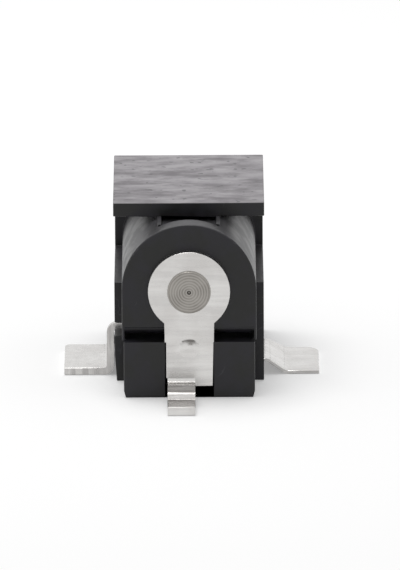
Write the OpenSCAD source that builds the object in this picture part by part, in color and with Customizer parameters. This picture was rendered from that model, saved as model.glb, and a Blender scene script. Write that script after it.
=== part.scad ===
// Surface mount DC power jack: a moulded housing with a riveted centre pin, a rear terminal,
// a sleeve spring and a shunt contact. The spring rests on the shunt until a plug pushes it off.
//
// Frame: millimetres, +Z up from the board, +Y towards the plug, +X to the right when the
// jack is looked at from behind. The origin is on the board, under the middle of the housing.

/* [Housing] */
// Width of the roof plate
body_w = 9.0; // [8.8:0.1:11]
// Width of the flange and the base below the roof
base_w = 8.92; // [8.6:0.02:9]
// Height from the board to the top of the roof
body_h = 11.0; // [10.8:0.1:12.5]
// Length from the rear blocks to the mouth
body_l = 14.5; // [14:0.1:17]
// Thickness of the front flange
flange_t = 2.8; // [2:0.1:3.6]
// Thickness of the roof plate
roof_t = 0.82; // [0.5:0.02:1.1]
// Distance from the rear blocks forward to the rear edge of the roof and the base
roof_setback = 3.56; // [3.2:0.02:4.2]
// Height of the base, whose top shows as a ledge on both sides of the barrel
base_h = 6.1; // [5.6:0.1:6.4]
// Distance that the base's left side tapers in at the board
side_taper = 0.12; // [0.05:0.01:0.2]
// Height over which the left side tapers
side_taper_h = 1.8; // [1.2:0.1:2.4]

/* [Barrel] */
// Height of the plug's axis above the board
axis_z = 6.5; // [6.3:0.1:6.8]
// Outer diameter of the barrel
barrel_d = 8.0; // [7.8:0.1:8.4]
// Radius round the rear edge of the barrel and the blocks
rear_edge_r = 0.12; // [0.05:0.01:0.15]
// Radius under the chin, where the rear face turns into the groove
chin_r = 0.5; // [0.3:0.05:0.6]
// Half of the gap between the two ribs that carry the roof on the barrel
rib_x = 1.63; // [1.5:0.01:1.9]
// Thickness of each rib
rib_t = 0.24; // [0.2:0.02:0.4]
// Distance from the barrel's rear face forward to the ribs and the slot between them
rib_setback = 1.2; // [1:0.1:1.8]
// Thickness of the barrel left over the bore at the slot between the ribs
slot_skin = 0.25; // [0.15:0.05:0.3]

/* [Rear blocks] */
// Height of the two blocks below the groove
block_h = 3.4; // [3.3:0.02:3.5]
// Distance that the blocks stand in from the barrel's side
block_inset = 0.1; // [0.05:0.01:0.12]
// Height of the groove between the blocks and the barrel
groove_h = 0.32; // [0.25:0.01:0.45]
// Depth of the groove from the barrel's rear face
groove_depth = 1.5; // [1:0.1:2]
// Wall left at each end of the groove
groove_skin = 0.14; // [0.12:0.01:0.2]
// Radius in the lower corners of the groove
groove_r = 0.2; // [0.1:0.05:0.3]
// Depth of the slot between the blocks
block_slot_depth = 3.0; // [2.5:0.1:3.2]
// Distance that the blocks' outer sides taper in at the board
block_taper = 0.12; // [0.05:0.01:0.2]
// Height over which the blocks taper
block_taper_h = 0.42; // [0.3:0.02:0.6]

/* [Plug socket] */
// Diameter of the bore that takes the plug
bore_d = 6.3; // [6:0.1:6.4]
// Depth of the bore from the mouth
bore_depth = 10.8; // [10:0.1:11.2]
// Chamfer round the mouth
mouth_chamfer = 0.35; // [0.2:0.05:0.5]

/* [Centre pin] */
// Diameter of the pin
pin_d = 2.0; // [1.6:0.05:2.5]
// Distance from the mouth back to the pin's tip
pin_recess = 1.5; // [1:0.1:3]
// Radius round the pin's tip
pin_tip_r = 0.45; // [0.2:0.05:0.6]
// Diameter of the collar that seats on the bore's floor
collar_d = 3.2; // [2.8:0.1:4]
// Thickness of the collar
collar_t = 0.6; // [0.4:0.1:1]
// Diameter of the stem through the housing and the ring
stem_d = 1.5; // [1:0.1:1.8]
// Diameter of the riveted head
rivet_d = 2.58; // [2.3:0.02:3]
// Height of the riveted head
rivet_t = 0.16; // [0.12:0.01:0.3]
// Diameter of the mark that the riveting punch leaves in the head
punch_d = 0.24; // [0.15:0.01:0.4]
// Gap round the stem in its holes
stem_gap = 0.02; // [0.01:0.01:0.05]

/* [Rear terminal] */
// Thickness of the terminal's sheet
terminal_t = 0.5; // [0.3:0.05:0.6]
// Diameter of the ring
ring_d = 4.88; // [4.6:0.02:5.2]
// Width of the neck above the blocks
neck_w = 2.98; // [2.9:0.02:3.2]
// Width of the neck between the blocks
tail_w = 2.8; // [2.7:0.02:2.9]
// Gap on each side of the neck between the blocks
tail_gap = 0.04; // [0.02:0.01:0.08]
// Height of the neck's lower end above the board
tail_z = 0.68; // [0.4:0.02:1]
// Height of the dimple's middle above the board
dimple_z = 3.0; // [2.8:0.02:3.2]
// Diameter of the dimple
dimple_d = 1.3; // [1:0.02:1.5]
// Depth of the dimple
dimple_depth = 0.22; // [0.1:0.02:0.26]
// Width of the rear lead
rear_lead_w = 1.64; // [1.2:0.02:1.8]
// Distance from the jack's middle to the rear lead's left edge
rear_lead_x = 1.3; // [1.2:0.02:1.38]
// Distance that the rear lead reaches behind the blocks
rear_lead_reach = 3.86; // [3.4:0.02:5]
// Height of the step in the rear lead above the board
rear_step_z = 0.42; // [0.3:0.02:0.6]
// Distance from the blocks back to the drop in the rear lead
rear_step_l = 1.72; // [1.5:0.02:2]

/* [Side leads] */
// Distance from the rear blocks forward to both side leads
lead_setback = 4.86; // [4.6:0.02:5.2]
// Width of both side feet
foot_w = 5.1; // [4.8:0.05:5.4]

/* [Sleeve spring] */
// Thickness of the spring's sheet
spring_t = 0.2; // [0.15:0.01:0.24]
// Height of the top of the spring's base strip above the board
strip_z = 0.98; // [0.9:0.02:1.2]
// Width of the base strip where it leaves the housing
strip_w = 4.25; // [3.4:0.05:4.6]
// Width of the blade
blade_w = 2.4; // [1.8:0.1:2.6]
// Height of the blade's crest above the bore's lowest line
crest_rise = 0.85; // [0.6:0.05:1]
// Distance from the mouth back to the blade's front bend
blade_setback = 2.05; // [1.9:0.05:2.4]
// Distance from the mouth back to the blade's crest
crest_setback = 5.05; // [4.8:0.05:5.4]
// Inner radius of the blade's bends
blade_r = 0.4; // [0.3:0.05:0.5]
// Distance from the jack's middle to the end of the right foot
right_reach = 7.76; // [7.4:0.02:8.4]
// Distance from the housing's side to the outer end of the right lead's slope
slope_l = 1.3; // [1.1:0.05:1.6]
// Radius of the right foot's front corner
right_corner_r = 0.9; // [0.5:0.1:1.2]

/* [Shunt contact] */
// Thickness of the shunt contact's sheet
shunt_t = 0.43; // [0.3:0.01:0.46]
// Height of the contact plate's underside above the board
plate_z = 2.8; // [2.7:0.02:2.84]
// Length of the tongue that the spring rests on, along the jack
tongue_l = 1.15; // [0.9:0.05:1.3]
// Distance that the tongue reaches past the jack's middle
tongue_reach = 1.0; // [0.6:0.1:1.2]
// Length along the jack of the arm that leaves the wall
arm_l = 0.4; // [0.3:0.05:0.8]
// Height of the upright at its front end, where it has fallen away from the arm
upright_low_z = 0.9; // [0.8:0.05:1.4]
// Gap between the housing's side and the upright part of the lead
upright_gap = 0.05; // [0.03:0.01:0.15]
// Inner radius of the lead's bends
shunt_r = 0.18; // [0.1:0.02:0.3]
// Distance from the jack's middle to the end of the left foot
left_reach = 7.5; // [7.2:0.05:8.2]
// Radius of the left foot's front corner
left_corner_r = 0.4; // [0.2:0.1:0.8]
// Height of the notch that lets the shunt contact into the left wall
notch_h = 0.82; // [0.7:0.02:0.9]

/* [Contact channel] */
// Width of the channel under the bore
channel_w = 2.9; // [2.8:0.05:3]
// Distance from the mouth back to the channel's front end
channel_setback = 1.65; // [1.5:0.05:1.8]
// Gap left round a contact in its slot
slot_gap = 0.03; // [0.01:0.01:0.06]

/* [Hidden] */
$fn = 96;
EPS = 0.01;
BEND_STEPS = 10;

front_y = body_l / 2;
rear_y = -body_l / 2;
barrel_rear_y = rear_y + terminal_t;
base_rear_y = rear_y + roof_setback;
flange_rear_y = front_y - flange_t;
bore_floor_y = front_y - bore_depth;
side_x = base_w / 2;
roof_x = body_w / 2;
barrel_r = barrel_d / 2;
bore_r = bore_d / 2;
block_x = barrel_r - block_inset;
roof_z = body_h - roof_t;
chin_z = block_h + groove_h;
tail_slot_x = tail_w / 2 + tail_gap;
channel_x = channel_w / 2;

lead_y = rear_y + lead_setback;
foot_end_y = lead_y + foot_w;
channel_rear_y = lead_y - 0.25;
channel_front_y = front_y - channel_setback;

spring_z = strip_z - spring_t / 2;
blade_front_y = front_y - blade_setback;
crest_y = front_y - crest_setback;
crest_z = axis_z - bore_r + crest_rise;
blade_tip_z = plate_z - spring_t / 2;
knee_y = lead_y + tongue_l + 0.2;
blade_tip_y = lead_y + 0.3;

upright_x = -(side_x + upright_gap + shunt_t / 2);
bend_inside = max(0, shunt_r - upright_gap);
bend_relief = shunt_r - sqrt(shunt_r * shunt_r - bend_inside * bend_inside) + slot_gap;
plate_mid_z = plate_z + shunt_t / 2;
root_x = -side_x + bend_inside;
dimple_r = (dimple_d * dimple_d / 4 + dimple_depth * dimple_depth) / (2 * dimple_depth);

PLASTIC = [0.13, 0.13, 0.14];
TIN = [0.86, 0.86, 0.84];
NICKEL = [0.66, 0.64, 0.6];

// ---------------------------------------------------------------- bent sheet metal

function unit(v) = v / norm(v);
function left_of(v) = [-v[1], v[0]];
function turned(v, a) = [v[0] * cos(a) - v[1] * sin(a), v[0] * sin(a) + v[1] * cos(a)];

// Points of the arc of radius r that rounds the corner b between a and c
function bend(a, b, c, r) =
    let (
        back = unit(a - b),
        ahead = unit(c - b),
        half = acos(back * ahead) / 2,
        middle = b + unit(back + ahead) * r / sin(half),
        start = b + back * r / tan(half) - middle,
        side = left_of(-back) * ahead > 0 ? 1 : -1,
        sweep = side * (180 - 2 * half)
    )
    [for (i = [0 : BEND_STEPS]) middle + turned(start, sweep * i / BEND_STEPS)];

// Middle line of a strip through the corners, each inner corner rounded by its radius
function bent(corners, radii) =
    let (last = len(corners) - 1)
    concat(
        [corners[0]],
        [for (i = [1 : last - 1]) each bend(corners[i - 1], corners[i], corners[i + 1], radii[i - 1])],
        [corners[last]]
    );

// Offset at point i of a line, so that the strip keeps its thickness round the bends
function mitre(line, i) =
    let (
        last = len(line) - 1,
        before = unit(line[max(i, 1)] - line[max(i, 1) - 1]),
        after = unit(line[min(i, last - 1) + 1] - line[min(i, last - 1)]),
        n = unit(left_of(before) + left_of(after))
    )
    n / (n * left_of(before));

// Section of a strip of thickness t along the line
module strip_section(line, t) {
    last = len(line) - 1;
    polygon(concat(
        [for (i = [0 : last]) line[i] + mitre(line, i) * t / 2],
        [for (i = [last : -1 : 0]) line[i] - mitre(line, i) * t / 2]
    ));
}

// Extrudes an outline drawn in X and Z along Y, from y0 to y1
module along_y(y0, y1) {
    translate([0, y1, 0])
        rotate([90, 0, 0])
            linear_extrude(height = y1 - y0)
                children();
}

// Extrudes an outline drawn in Y and Z along X, from x0 to x1
module along_x(x0, x1) {
    translate([x0, 0, 0])
        rotate([90, 0, 90])
            linear_extrude(height = x1 - x0)
                children();
}

// A block between two opposite corners
module block(low, high) {
    translate(low)
        cube(high - low);
}

// A rectangle between two opposite corners
module area(low, high) {
    translate(low)
        square(high - low);
}

// A rod along Y, on the plug's axis
module rod(r, y0, y1) {
    translate([0, y1, axis_z])
        rotate([90, 0, 0])
            cylinder(r = r, h = y1 - y0);
}

// ---------------------------------------------------------------- housing

// A rod on the plug's axis whose end at y0 has a rounded edge
module rounded_rod(r, y0, y1, edge) {
    rod(r, y0 + edge, y1);
    rod(r - edge, y0, y1);
    translate([0, y0 + edge, axis_z])
        rotate([90, 0, 0])
            rotate_extrude()
                translate([r - edge, 0])
                    circle(r = edge, $fn = 32);
}

// Plan of a block whose two rear corners are rounded
module rear_plan(x, y0, y1, r) {
    area([-x + r, y0], [x - r, y1]);
    area([-x, y0 + r], [x, y1]);
    for (side = [-1, 1])
        translate([side * (x - r), y0 + r])
            circle(r = r, $fn = 32);
}

module barrel() {
    rounded_rod(barrel_r, barrel_rear_y, flange_rear_y + EPS, rear_edge_r);
    // Cheeks: the barrel's straight sides below its axis
    translate([0, 0, block_h - EPS])
        linear_extrude(height = axis_z - block_h + EPS)
            rear_plan(barrel_r, barrel_rear_y, base_rear_y + EPS, rear_edge_r);
}

module rear_blocks() {
    linear_extrude(height = block_h)
        rear_plan(block_x, rear_y, base_rear_y + EPS, rear_edge_r);
}

// Wedge that tapers one side, at x, in towards the board
module taper(side, x, inset, h) {
    polygon([[side * (x - inset), -EPS], [side * (x + EPS), -EPS], [side * (x + EPS), h]]);
}

// Groove between the blocks and the barrel, with the rounded chin above it
module groove() {
    x = barrel_r - groove_skin;
    y = barrel_rear_y;
    intersection() {
        along_x(-x, x) {
            area([y - EPS, block_h], [y + groove_depth, chin_z]);
            difference() {
                area([y - EPS, chin_z - EPS], [y + chin_r, chin_z + chin_r]);
                translate([y + chin_r, chin_z + chin_r])
                    circle(r = chin_r);
            }
        }
        along_y(y - 1, y + groove_depth + 1) {
            area([-x + groove_r, block_h - EPS], [x - groove_r, axis_z]);
            area([-x, block_h + groove_r], [x, axis_z]);
            for (side = [-1, 1])
                translate([side * (x - groove_r), block_h + groove_r])
                    circle(r = groove_r, $fn = 32);
        }
    }
}

// Ribs that stand on the barrel and carry the roof, each with a rounded rear end
module ribs() {
    y = barrel_rear_y + rib_setback;
    for (side = [-1, 1])
        translate([side * (rib_x + rib_t / 2), 0, axis_z])
            linear_extrude(height = roof_z - axis_z + EPS) {
                area([-rib_t / 2, y + rib_t / 2], [rib_t / 2, flange_rear_y + EPS]);
                translate([0, y + rib_t / 2])
                    circle(r = rib_t / 2, $fn = 32);
            }
}

// Slot between the ribs, which parts the roof from the barrel
module rib_slot() {
    low = [-rib_x, barrel_rear_y + rib_setback, axis_z + bore_r + slot_skin];
    block(low, [rib_x, flange_rear_y, roof_z]);
    block(low, [rib_x, base_rear_y, body_h]);
}

module socket() {
    rod(bore_r, bore_floor_y, front_y + EPS);
    // Chamfered mouth
    translate([0, front_y + EPS, axis_z])
        rotate([90, 0, 0])
            cylinder(r1 = bore_r + mouth_chamfer + EPS, r2 = bore_r, h = mouth_chamfer + EPS);
    // Hole for the pin's stem
    rod(stem_d / 2 + stem_gap, rear_y - EPS, front_y);
}

// Channel under the bore for the spring's blade, open below
module contact_channel() {
    block([-channel_x, channel_rear_y, -EPS], [channel_x, channel_front_y, axis_z - bore_r / 2]);
}

// Notch under the right wall for the spring's base strip
module strip_notch() {
    block(
        [0, lead_y - slot_gap, -EPS],
        [side_x + EPS, lead_y + strip_w + slot_gap, strip_z]
    );
}

// Slot through the left side for the contact's tongue, with its notch in the wall behind it
module plate_slot() {
    front = lead_y + tongue_l + slot_gap;
    block([-side_x - EPS, lead_y - slot_gap, plate_z], [0, front, plate_z + shunt_t]);
    // Relief under the plate, where the lead starts to bend inside the wall
    block(
        [-side_x - EPS, lead_y - slot_gap, plate_z - bend_relief],
        [-side_x + bend_inside + slot_gap, front, plate_z + EPS]
    );
    block([-side_x - EPS, base_rear_y - EPS, plate_z], [-barrel_r, front, plate_z + notch_h]);
}

module housing() {
    color(PLASTIC)
        difference() {
            union() {
                block([-side_x, flange_rear_y, 0], [side_x, front_y, roof_z + EPS]);
                block([-roof_x, base_rear_y, roof_z], [roof_x, front_y, body_h]);
                block([-side_x, base_rear_y, 0], [side_x, front_y, base_h]);
                barrel();
                rear_blocks();
                ribs();
            }
            socket();
            rib_slot();
            groove();
            block(
                [-tail_slot_x, rear_y - EPS, -EPS],
                [tail_slot_x, rear_y + block_slot_depth, block_h + EPS]
            );
            contact_channel();
            strip_notch();
            plate_slot();
            along_y(rear_y - EPS, base_rear_y)
                for (side = [-1, 1])
                    taper(side, block_x, block_taper, block_taper_h);
            along_y(base_rear_y - EPS, flange_rear_y)
                taper(-1, side_x, side_taper, side_taper_h);
        }
}

// ---------------------------------------------------------------- centre pin

module centre_pin() {
    tip_y = front_y - pin_recess;
    color(NICKEL)
        difference() {
            union() {
                // Pin with its rounded tip
                rod(pin_d / 2, bore_floor_y, tip_y - pin_tip_r);
                rod(pin_d / 2 - pin_tip_r, bore_floor_y, tip_y);
                translate([0, tip_y - pin_tip_r, axis_z])
                    rotate([90, 0, 0])
                        rotate_extrude()
                            translate([pin_d / 2 - pin_tip_r, 0])
                                circle(r = pin_tip_r, $fn = 48);
                rod(collar_d / 2, bore_floor_y, bore_floor_y + collar_t);
                rod(stem_d / 2, rear_y - EPS, bore_floor_y + EPS);
                rounded_rod(rivet_d / 2, rear_y - rivet_t, rear_y, rivet_t / 2);
            }
            translate([0, rear_y - rivet_t, axis_z])
                sphere(r = punch_d / 2, $fn = 24);
        }
}

// ---------------------------------------------------------------- rear terminal

// Side view of the rear lead: down the neck, back over the step and on to its foot
function rear_lead_line() =
    bent(
        [
            [rear_y + terminal_t / 2, tail_z + terminal_t + 1],
            [rear_y + terminal_t / 2, rear_step_z + terminal_t / 2],
            [rear_y - rear_step_l, rear_step_z + terminal_t / 2],
            [rear_y - rear_step_l - 0.42, terminal_t / 2],
            [rear_y - rear_lead_reach, terminal_t / 2]
        ],
        [terminal_t / 2 + 0.27, terminal_t / 2 + 0.12, terminal_t / 2 + 0.12]
    );

module pin_terminal() {
    lead_low = rear_step_z + terminal_t + 0.27;
    color(TIN)
        difference() {
            union() {
                along_y(rear_y, rear_y + terminal_t) {
                    translate([0, axis_z])
                        circle(r = ring_d / 2);
                    area([-neck_w / 2, block_h], [neck_w / 2, axis_z]);
                    area([-tail_w / 2, lead_low], [tail_w / 2, axis_z]);
                    area([rear_lead_w - rear_lead_x - EPS, tail_z], [tail_w / 2, axis_z]);
                }
                along_x(-rear_lead_x, rear_lead_w - rear_lead_x)
                    strip_section(rear_lead_line(), terminal_t);
            }
            rod(stem_d / 2 + stem_gap, rear_y - 1, rear_y + 1);
            // Dimple pressed into the neck
            translate([0, rear_y + dimple_depth - dimple_r, dimple_z])
                sphere(r = dimple_r);
        }
}

// ---------------------------------------------------------------- sleeve spring

// Side view of the blade: forward along the base, up and back to the crest, down to the tongue
function blade_line() =
    bent(
        [
            [lead_y, spring_z],
            [blade_front_y, spring_z],
            [blade_front_y, spring_z + 1.35],
            [crest_y, crest_z],
            [knee_y, blade_tip_z],
            [blade_tip_y, blade_tip_z]
        ],
        [blade_r + spring_t / 2, blade_r + spring_t / 2, 0.7, 0.5]
    );

// Front view of the right lead: out of the housing, down the slope and on to the foot
function right_lead_line() =
    bent(
        [
            [-blade_w / 2, spring_z],
            [side_x + 0.2, spring_z],
            [side_x + slope_l, spring_t / 2],
            [right_reach, spring_t / 2]
        ],
        [0.5, 0.5]
    );

// Plan of the strip and the foot, which is wider than the strip and has a shallow waist at its end
module right_lead_plan() {
    far = foot_end_y;
    difference() {
        union() {
            polygon([
                [-blade_w / 2, lead_y],
                [right_reach - right_corner_r, lead_y],
                [right_reach - right_corner_r, far],
                [side_x + slope_l, far],
                [side_x + 0.1, lead_y + strip_w],
                [-blade_w / 2, lead_y + strip_w]
            ]);
            area([right_reach - right_corner_r - EPS, lead_y], [right_reach, far - right_corner_r]);
            translate([right_reach - right_corner_r, far - right_corner_r])
                circle(r = right_corner_r);
        }
        translate([right_reach + 3.95, lead_y + foot_w * 0.45])
            circle(r = 4);
    }
}

module sleeve_spring() {
    color(TIN)
        union() {
            along_x(-blade_w / 2, blade_w / 2)
                strip_section(blade_line(), spring_t);
            intersection() {
                along_y(lead_y, foot_end_y)
                    strip_section(right_lead_line(), spring_t);
                translate([0, 0, -1])
                    linear_extrude(height = strip_z + 2)
                        right_lead_plan();
            }
        }
}

// ---------------------------------------------------------------- shunt contact

// Front view of the shunt contact: out through the left wall, down beside it and on to the foot
function left_lead_line() =
    bent(
        [
            [tongue_reach, plate_mid_z],
            [upright_x, plate_mid_z],
            [upright_x, shunt_t / 2],
            [-left_reach, shunt_t / 2]
        ],
        [shunt_r + shunt_t / 2, shunt_r + shunt_t / 2]
    );

// Plan of the contact: the tongue across the channel, the upright beside the wall and the foot
module left_lead_plan() {
    outer = -left_reach + left_corner_r;
    area([root_x - EPS, lead_y], [tongue_reach, lead_y + tongue_l]);
    area([outer, lead_y], [root_x, foot_end_y]);
    area([-left_reach, lead_y], [outer + EPS, foot_end_y - left_corner_r]);
    translate([outer, foot_end_y - left_corner_r])
        circle(r = left_corner_r);
}

// Side view of what is cut away in front of the arm, so that the upright falls towards the front
module upright_cut() {
    top = plate_z + shunt_t + EPS;
    arm_y = lead_y + arm_l;
    polygon([[arm_y, plate_z], [arm_y, top], [foot_end_y + EPS, top], [foot_end_y + EPS, upright_low_z]]);
}

module shunt_contact() {
    color(TIN)
        difference() {
            intersection() {
                along_y(lead_y, foot_end_y)
                    strip_section(left_lead_line(), shunt_t);
                translate([0, 0, -1])
                    linear_extrude(height = plate_z + shunt_t + 2)
                        left_lead_plan();
            }
            along_x(-left_reach, root_x)
                upright_cut();
        }
}

housing();
centre_pin();
pin_terminal();
sleeve_spring();
shunt_contact();
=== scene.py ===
"""Looks for the DC power jack: a black moulded housing with tinned contacts, on a white floor.

Lengths are in metres in the row's frame: +Y towards the plug, +Z up from the board.
"""

import math

import bmesh
import bpy
from mathutils import Matrix, Vector


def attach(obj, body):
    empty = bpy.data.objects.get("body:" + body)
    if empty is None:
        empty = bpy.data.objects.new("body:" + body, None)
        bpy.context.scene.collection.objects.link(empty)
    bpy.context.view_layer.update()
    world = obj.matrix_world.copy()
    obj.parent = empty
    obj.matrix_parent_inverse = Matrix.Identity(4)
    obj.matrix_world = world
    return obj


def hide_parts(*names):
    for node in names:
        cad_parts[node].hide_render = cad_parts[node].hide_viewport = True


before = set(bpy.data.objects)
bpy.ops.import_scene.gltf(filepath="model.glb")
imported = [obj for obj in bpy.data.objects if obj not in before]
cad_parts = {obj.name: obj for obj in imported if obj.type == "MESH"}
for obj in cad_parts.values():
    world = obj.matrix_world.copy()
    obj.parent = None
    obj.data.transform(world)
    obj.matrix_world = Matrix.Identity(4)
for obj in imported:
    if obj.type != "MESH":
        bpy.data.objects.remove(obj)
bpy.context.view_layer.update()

MM = 0.001
AXIS_Z = 6.5 * MM  # height of the plug's axis
REAR_Y = -7.25 * MM  # rear face of the blocks and of the terminal
SMOOTH_BELOW = math.radians(35)
ROUNDED_ABOVE = math.radians(60)


# ---------------------------------------------------------------- meshes


def finished(name, node, edge, shortest=0.3 * MM):
    """A copy of a CAD node's mesh with its long sharp edges rounded, for moulded and stamped pieces."""
    mesh = bpy.data.meshes.new(name)
    shape = bmesh.new()
    shape.from_mesh(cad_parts[node].data)
    bmesh.ops.remove_doubles(shape, verts=shape.verts, dist=1e-6)
    bmesh.ops.dissolve_limit(shape, angle_limit=math.radians(0.5), verts=shape.verts, edges=shape.edges)
    rounded = shape.edges.layers.float.new("bevel_weight_edge")
    for e in shape.edges:
        angle = e.calc_face_angle()
        e.smooth = angle < SMOOTH_BELOW
        e[rounded] = float(angle > ROUNDED_ABOVE and e.calc_length() > shortest)
    for face in shape.faces:
        face.smooth = True
    shape.to_mesh(mesh)
    shape.free()
    obj = bpy.data.objects.new(name, mesh)
    bpy.context.scene.collection.objects.link(obj)
    bevel = obj.modifiers.new("edge", "BEVEL")
    bevel.width = edge
    bevel.segments = 2
    bevel.limit_method = "WEIGHT"
    bevel.use_clamp_overlap = False
    flat = obj.modifiers.new("flat", "WEIGHTED_NORMAL")
    flat.keep_sharp = True
    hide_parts(node)
    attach(obj, "root")
    return obj


# ---------------------------------------------------------------- shader groups


def new_group(name, inputs, outputs):
    """An empty shader group with named sockets: (name, type, default) in, (name, type) out."""
    group = bpy.data.node_groups.new(name, "ShaderNodeTree")
    for label, kind, default in inputs:
        socket = group.interface.new_socket(label, in_out="INPUT", socket_type=kind)
        if default is not None:
            socket.default_value = default
    for label, kind in outputs:
        group.interface.new_socket(label, in_out="OUTPUT", socket_type=kind)
    return group, group.nodes.new("NodeGroupInput"), group.nodes.new("NodeGroupOutput")


class Wires:
    """Adds nodes to one tree and links them, so that a material reads from top to bottom."""

    def __init__(self, tree):
        self.nodes = tree.nodes
        self.links = tree.links

    def put(self, socket, value):
        if isinstance(value, bpy.types.NodeSocket):
            self.links.new(value, socket)
        else:
            socket.default_value = value

    def math(self, operation, first, second=0.0):
        node = self.nodes.new("ShaderNodeMath")
        node.operation = operation
        self.put(node.inputs[0], first)
        self.put(node.inputs[1], second)
        return node.outputs[0]

    def ramp(self, value, low, high, to_low=0.0, to_high=1.0):
        node = self.nodes.new("ShaderNodeMapRange")
        node.interpolation_type = "SMOOTHSTEP"
        self.put(node.inputs["Value"], value)
        node.inputs["From Min"].default_value = low
        node.inputs["From Max"].default_value = high
        node.inputs["To Min"].default_value = to_low
        node.inputs["To Max"].default_value = to_high
        return node.outputs["Result"]

    def stretched(self, place, scale):
        node = self.nodes.new("ShaderNodeMapping")
        self.put(node.inputs["Vector"], place)
        node.inputs["Scale"].default_value = scale
        return node.outputs["Vector"]

    def noise(self, place, scale, detail=2.0, roughness=0.5):
        node = self.nodes.new("ShaderNodeTexNoise")
        self.put(node.inputs["Vector"], place)
        self.put(node.inputs["Scale"], scale)
        node.inputs["Detail"].default_value = detail
        node.inputs["Roughness"].default_value = roughness
        return node.outputs["Fac"]

    def mix(self, factor, first, second):
        node = self.nodes.new("ShaderNodeMix")
        node.data_type = "RGBA"
        self.put(node.inputs[0], factor)
        self.put(node.inputs[6], first)
        self.put(node.inputs[7], second)
        return node.outputs[2]

    def axes(self, vector):
        node = self.nodes.new("ShaderNodeSeparateXYZ")
        self.put(node.inputs[0], vector)
        return node.outputs

    def facing(self):
        """The surface normal's axes."""
        return self.axes(self.nodes.new("ShaderNodeNewGeometry").outputs["Normal"])

    def bump(self, height, strength, distance):
        node = self.nodes.new("ShaderNodeBump")
        self.put(node.inputs["Height"], height)
        self.put(node.inputs["Strength"], strength)
        node.inputs["Distance"].default_value = distance
        return node.outputs["Normal"]

    def group(self, tree, **values):
        node = self.nodes.new("ShaderNodeGroup")
        node.node_tree = tree
        for label, value in values.items():
            self.put(node.inputs[label.replace("_", " ")], value)
        return node.outputs


def grain_group():
    """Fine grain over a broader unevenness: a height for the bump and a mask for the roughness."""
    group, given, out = new_group(
        "surface_grain",
        [
            ("Place", "NodeSocketVector", None),
            ("Fine", "NodeSocketFloat", 9000.0),
            ("Broad", "NodeSocketFloat", 900.0),
        ],
        [("Height", "NodeSocketFloat"), ("Patches", "NodeSocketFloat")],
    )
    w = Wires(group)
    fine = w.noise(given.outputs["Place"], given.outputs["Fine"], 3.0, 0.6)
    broad = w.noise(given.outputs["Place"], given.outputs["Broad"], 4.0, 0.55)
    height = w.math("ADD", w.math("MULTIPLY", fine, 0.4), w.math("MULTIPLY", broad, 0.6))
    w.links.new(height, out.inputs["Height"])
    w.links.new(w.ramp(broad, 0.35, 0.65), out.inputs["Patches"])
    return group


def scuff_group():
    """Short scratches: stretched noise cut to its thin crests and broken up by a second noise."""
    group, given, out = new_group(
        "scuffs",
        [("Place", "NodeSocketVector", None), ("Scale", "NodeSocketFloat", 700.0)],
        [("Scuffs", "NodeSocketFloat")],
    )
    w = Wires(group)
    long_way = w.stretched(given.outputs["Place"], (1.0, 0.12, 0.9))
    crest = w.math("ABSOLUTE", w.math("SUBTRACT", w.noise(long_way, given.outputs["Scale"], 2.0), 0.5))
    broken = w.noise(given.outputs["Place"], w.math("MULTIPLY", given.outputs["Scale"], 0.6), 2.0)
    scratch = w.math("MULTIPLY", w.ramp(crest, 0.0, 0.012, 1.0, 0.0), w.ramp(broken, 0.56, 0.66))
    w.links.new(scratch, out.inputs["Scuffs"])
    return group


def streak_group():
    """Fine parallel lines along the direction that Stretch squeezes least, as rolling leaves them."""
    group, given, out = new_group(
        "drawn_streaks",
        [("Place", "NodeSocketVector", None), ("Stretch", "NodeSocketVector", (1.0, 1.0, 1.0))],
        [("Streaks", "NodeSocketFloat")],
    )
    w = Wires(group)
    scaled = w.nodes.new("ShaderNodeVectorMath")
    scaled.operation = "MULTIPLY"
    w.links.new(given.outputs["Place"], scaled.inputs[0])
    w.links.new(given.outputs["Stretch"], scaled.inputs[1])
    w.links.new(w.ramp(w.noise(scaled.outputs[0], 1.0, 3.0, 0.6), 0.3, 0.7), out.inputs["Streaks"])
    return group


def rings_group():
    """Concentric turning marks round an axis along Y at a given height."""
    group, given, out = new_group(
        "turning_rings",
        [
            ("Place", "NodeSocketVector", None),
            ("Axis Height", "NodeSocketFloat", AXIS_Z),
            ("Pitch", "NodeSocketFloat", 0.1 * MM),
        ],
        [("Rings", "NodeSocketFloat"), ("Radius", "NodeSocketFloat")],
    )
    w = Wires(group)
    x, _, z = w.axes(given.outputs["Place"])
    up = w.math("SUBTRACT", z, given.outputs["Axis Height"])
    radius = w.math("SQRT", w.math("ADD", w.math("MULTIPLY", x, x), w.math("MULTIPLY", up, up)))
    wobble = w.math("MULTIPLY", w.noise(given.outputs["Place"], 1500.0), 0.6)
    turns = w.math("ADD", w.math("DIVIDE", radius, given.outputs["Pitch"]), wobble)
    rings = w.math("SINE", w.math("MULTIPLY", turns, 2 * math.pi))
    w.links.new(w.ramp(rings, -1.0, 1.0), out.inputs["Rings"])
    w.links.new(radius, out.inputs["Radius"])
    return group


GRAIN = grain_group()
SCUFFS = scuff_group()
STREAKS = streak_group()
RINGS = rings_group()


# ---------------------------------------------------------------- materials


def new_material(name):
    mat = bpy.data.materials.new(name)
    mat.use_nodes = True
    nodes = mat.node_tree.nodes
    nodes.clear()
    out = nodes.new("ShaderNodeOutputMaterial")
    bsdf = nodes.new("ShaderNodeBsdfPrincipled")
    mat.node_tree.links.new(bsdf.outputs["BSDF"], out.inputs["Surface"])
    return mat, nodes, mat.node_tree.links, bsdf


def object_place(nodes):
    return nodes.new("ShaderNodeTexCoord").outputs["Object"]


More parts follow.
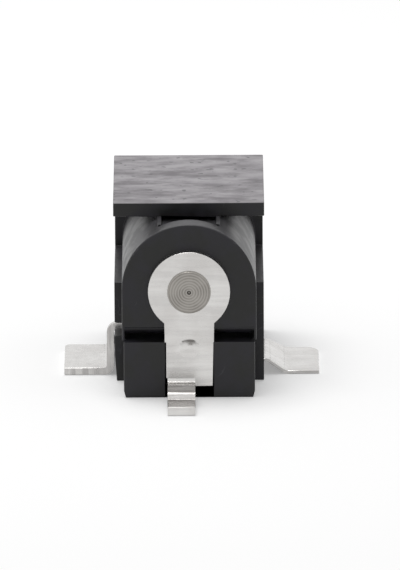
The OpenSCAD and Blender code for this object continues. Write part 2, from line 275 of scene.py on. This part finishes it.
def moulded_black():
    """Black moulding: bluish black, with a grey mottled layer on the roof's upward faces: dust, and
    painted sheen for the brightness the top shows in grazing light.
    """
    mat, nodes, links, bsdf = new_material("black_moulding")
    w = Wires(mat.node_tree)
    place = object_place(nodes)
    grain = w.group(GRAIN, Place=place, Fine=9000.0, Broad=800.0)
    scuffs = w.group(SCUFFS, Place=place, Scale=700.0)["Scuffs"]
    height = w.axes(place)[2]
    upward = w.facing()[2]
    # painted sheen: the roof's upward faces turn grey, mottled by the smear and specks like dust
    roof = w.math("MULTIPLY", w.ramp(height, 10.6 * MM, 10.95 * MM), w.ramp(upward, 0.5, 0.95))
    # painted sheen: the shelves' upward faces near 6 mm height are lightened toward grey
    shelf_sheen = w.math("MULTIPLY", w.ramp(height, 5.5 * MM, 6.0 * MM), w.ramp(upward, 0.3, 0.9))
    smear = w.noise(w.stretched(place, (1.0, 2.2, 1.0)), 420.0, 5.0, 0.62)
    specks = w.ramp(w.noise(place, 1900.0, 1.0), 0.27, 0.33, 0.35, 1.0)
    dust_and_sheen = w.mix(w.ramp(smear, 0.3, 0.7), (0.16, 0.15, 0.16, 1), (0.36, 0.345, 0.36, 1))
    dust_and_sheen = w.mix(specks, (0.07, 0.07, 0.075, 1), dust_and_sheen)
    body = w.mix(grain["Patches"], (0.008, 0.008, 0.0075, 1), (0.0125, 0.012, 0.016, 1))
    body = w.mix(w.math("MULTIPLY", scuffs, 0.25), body, (0.1, 0.1, 0.11, 1))
    # painted sheen on the shelves
    body = w.mix(w.math("MULTIPLY", shelf_sheen, 0.35), body, (0.09, 0.088, 0.093, 1))
    links.new(w.mix(roof, body, dust_and_sheen), bsdf.inputs["Base Color"])
    rough = w.ramp(grain["Patches"], 0.0, 1.0, 0.33, 0.42)
    links.new(w.math("ADD", rough, w.math("MULTIPLY", roof, 0.25)), bsdf.inputs["Roughness"])
    bsdf.inputs["IOR"].default_value = 1.42
    links.new(w.bump(grain["Height"], 0.12, 0.02 * MM), bsdf.inputs["Normal"])
    return mat


def tinned(name, stretch, bare_and_shaded_mask):
    """Tin plate: pale grey with soft patches and rolling lines, darker where `bare_and_shaded_mask`
    says so: bare metal on cut edges, painted shade on the terminal.
    """
    mat, nodes, links, bsdf = new_material(name)
    w = Wires(mat.node_tree)
    place = object_place(nodes)
    grain = w.group(GRAIN, Place=place, Fine=7000.0, Broad=500.0)
    streaks = w.group(STREAKS, Place=place, Stretch=stretch)["Streaks"]
    tone = w.mix(grain["Patches"], (0.60, 0.585, 0.57, 1), (0.68, 0.67, 0.655, 1))
    tone = w.mix(w.math("MULTIPLY", streaks, 0.35), tone, (0.48, 0.47, 0.46, 1))
    bare_and_shaded = bare_and_shaded_mask(w, place, streaks)
    # mixed toward dark grey: bare metal on cut edges, painted shade on the terminal
    links.new(w.mix(bare_and_shaded, tone, (0.16, 0.15, 0.145, 1)), bsdf.inputs["Base Color"])
    bsdf.inputs["Metallic"].default_value = 1.0
    links.new(w.ramp(streaks, 0.0, 1.0, 0.2, 0.3), bsdf.inputs["Roughness"])
    links.new(w.bump(w.math("ADD", grain["Height"], streaks), 0.1, 0.01 * MM), bsdf.inputs["Normal"])
    return mat


def lead_painted_shade(w, place, streaks):
    """The rear lead's tail below the bend is painted darker than the neck, painted shade and dark
    reflection of the housing; the dimple gets painted shade under its top.
    """
    _, y, z = w.axes(place)
    # painted shade and dark reflection of the housing: the tail behind the rear face and below 1.4 mm,
    # broken up by the rolling lines
    behind = w.ramp(y, REAR_Y - 0.2 * MM, REAR_Y - 0.03 * MM, 1.0, 0.0)
    lead = w.math("MULTIPLY", behind, w.ramp(z, 1.15 * MM, 1.4 * MM, 1.0, 0.0))
    lead = w.math("MULTIPLY", lead, w.ramp(y, -10.9 * MM, -10.6 * MM))
    lead = w.math("MULTIPLY", lead, w.ramp(streaks, 0.0, 1.0, 0.35, 0.8))
    # painted shade: the dimple's downward-facing upper wall is darkened
    dimple_shade = w.math("MULTIPLY", w.ramp(w.facing()[2], -0.25, -0.5), w.ramp(z, 3.25 * MM, 3.4 * MM))
    dimple_shade = w.math("MULTIPLY", dimple_shade, w.ramp(z, 3.7 * MM, 3.8 * MM, 1.0, 0.0))
    return w.math("MAXIMUM", lead, w.math("MULTIPLY", dimple_shade, 0.85))


def cut_edge_is_dull(w, _, streaks):
    """The sheared rear edges of the side leads show the base metal through the plating."""
    edge = w.ramp(w.facing()[1], -0.6, -0.9)
    return w.math("MULTIPLY", edge, w.ramp(streaks, 0.0, 1.0, 0.12, 0.4))


def turned_nickel():
    """Turned nickel: concentric tool marks round the pin's axis, brightest on their crests."""
    mat, nodes, links, bsdf = new_material("turned_nickel")
    w = Wires(mat.node_tree)
    place = object_place(nodes)
    rings = w.group(RINGS, Place=place, Axis_Height=AXIS_Z, Pitch=0.16 * MM)
    grain = w.group(GRAIN, Place=place, Fine=8000.0, Broad=1100.0)
    tone = w.mix(rings["Rings"], (0.23, 0.215, 0.2, 1), (0.34, 0.325, 0.3, 1))
    # painted shade: the centre of the pin's head is darkened where a small dimple sits
    centre_shade = w.ramp(rings["Radius"], 0.08 * MM, 0.16 * MM, 1.0, 0.0)
    tone = w.mix(w.math("MULTIPLY", centre_shade, 0.6), tone, (0.1, 0.095, 0.09, 1))
    tone = w.mix(w.math("MULTIPLY", grain["Patches"], 0.3), tone, (0.42, 0.4, 0.37, 1))
    links.new(tone, bsdf.inputs["Base Color"])
    bsdf.inputs["Metallic"].default_value = 1.0
    links.new(w.ramp(rings["Rings"], 0.0, 1.0, 0.42, 0.3), bsdf.inputs["Roughness"])
    links.new(w.bump(rings["Rings"], 0.25, 0.01 * MM), bsdf.inputs["Normal"])
    return mat


# ---------------------------------------------------------------- pieces

housing = finished("housing_moulding", "housing", 0.04 * MM)
housing.data.materials.append(moulded_black())

ROLLED_UP = (2600.0, 2600.0, 260.0)
ROLLED_ACROSS = (260.0, 2600.0, 2600.0)
SHEETS = {
    "pin_terminal": tinned("tin_terminal", ROLLED_ACROSS, lead_painted_shade),
    "sleeve_spring": tinned("tin_spring", ROLLED_ACROSS, cut_edge_is_dull),
    "shunt_contact": tinned("tin_shunt", ROLLED_UP, cut_edge_is_dull),
}
for node, tin in SHEETS.items():
    piece = finished(node + "_sheet", node, 0.03 * MM)
    piece.data.materials.append(tin)


pin = finished("centre_pin_turned", "centre_pin", 0.02 * MM)
pin.data.materials.append(turned_nickel())


# ---------------------------------------------------------------- floor, light and camera


def floor():
    """A plain white floor just under the feet, bright enough where it is looked at to read as white."""
    size = 1.2
    corners = [(-size, -size, 0), (size, -size, 0), (size, size, 0), (-size, size, 0)]
    mesh = bpy.data.meshes.new("floor")
    mesh.from_pydata(corners, [], [(0, 1, 2, 3)])
    obj = bpy.data.objects.new("floor", mesh)
    bpy.context.scene.collection.objects.link(obj)
    obj.location.z = -0.00002
    mat, nodes, links, bsdf = new_material("white_floor")
    bsdf.inputs["Base Color"].default_value = (0.8, 0.8, 0.8, 1)
    bsdf.inputs["Roughness"].default_value = 0.9
    bsdf.inputs["Specular IOR Level"].default_value = 0.0
    bsdf.inputs["Emission Color"].default_value = (1, 1, 1, 1)
    path = nodes.new("ShaderNodeLightPath")
    looked = nodes.new("ShaderNodeMath")
    looked.operation = "ADD"
    looked.use_clamp = True
    links.new(path.outputs["Is Camera Ray"], looked.inputs[0])
    links.new(path.outputs["Is Glossy Ray"], looked.inputs[1])
    glow = nodes.new("ShaderNodeMath")
    glow.operation = "MULTIPLY"
    glow.inputs[1].default_value = 0.25
    links.new(looked.outputs[0], glow.inputs[0])
    links.new(glow.outputs[0], bsdf.inputs["Emission Strength"])
    obj.data.materials.append(mat)


floor()


def top_light(place, width, power):
    """A square soft lamp above the jack, aimed at the origin."""
    data = bpy.data.lights.new("top_light", "AREA")
    data.shape = "RECTANGLE"
    data.size = width
    data.size_y = width
    data.energy = power
    obj = bpy.data.objects.new("top_light", data)
    bpy.context.scene.collection.objects.link(obj)
    obj.location = place
    obj.rotation_euler = (-Vector(place)).to_track_quat("-Z", "Y").to_euler()


top_light((-0.03, 0.04, 0.25), 0.16, 0.38)


def studio(diffuse, seen):
    """White surroundings: at strength `seen` where they are looked at or mirrored, softer as light."""
    world = bpy.data.worlds.new("studio")
    world.use_nodes = True
    nodes, links = world.node_tree.nodes, world.node_tree.links
    background = nodes["Background"]
    background.inputs["Color"].default_value = (1, 1, 1, 1)
    path = nodes.new("ShaderNodeLightPath")
    either = nodes.new("ShaderNodeMath")
    either.operation = "MAXIMUM"
    links.new(path.outputs["Is Camera Ray"], either.inputs[0])
    links.new(path.outputs["Is Glossy Ray"], either.inputs[1])
    strength = nodes.new("ShaderNodeMapRange")
    strength.inputs["To Min"].default_value = diffuse
    strength.inputs["To Max"].default_value = seen
    links.new(either.outputs[0], strength.inputs["Value"])
    links.new(strength.outputs["Result"], background.inputs["Strength"])
    bpy.context.scene.world = world


studio(0.45, 1.0)

# Camera: a long lens behind the jack, a little above it
DISTANCE = 0.65
ELEVATION = 15.85
ROLL = -0.3
AIM = Vector((0, REAR_Y, AXIS_Z))
SHIFT_RIGHT = 0.6526 * MM
SHIFT_UP = 0.4212 * MM

camera_data = bpy.data.cameras.new("camera")
camera_data.sensor_width = 36.0
camera_data.lens = 691.94
camera_data.clip_start = 0.01
camera_data.clip_end = 10
camera = bpy.data.objects.new("camera", camera_data)
bpy.context.scene.collection.objects.link(camera)


def place_camera():
    el = math.radians(ELEVATION)
    back = Vector((0, -math.cos(el), math.sin(el)))
    turn = back.to_track_quat("Z", "Y").to_matrix() @ Matrix.Rotation(math.radians(ROLL), 3, "Z")
    target = AIM + turn.col[0] * SHIFT_RIGHT + turn.col[1] * SHIFT_UP
    camera.matrix_world = Matrix.Translation(target + back * DISTANCE) @ turn.to_4x4()


place_camera()
bpy.context.scene.camera = camera
bpy.context.scene.view_settings.view_transform = "Standard"
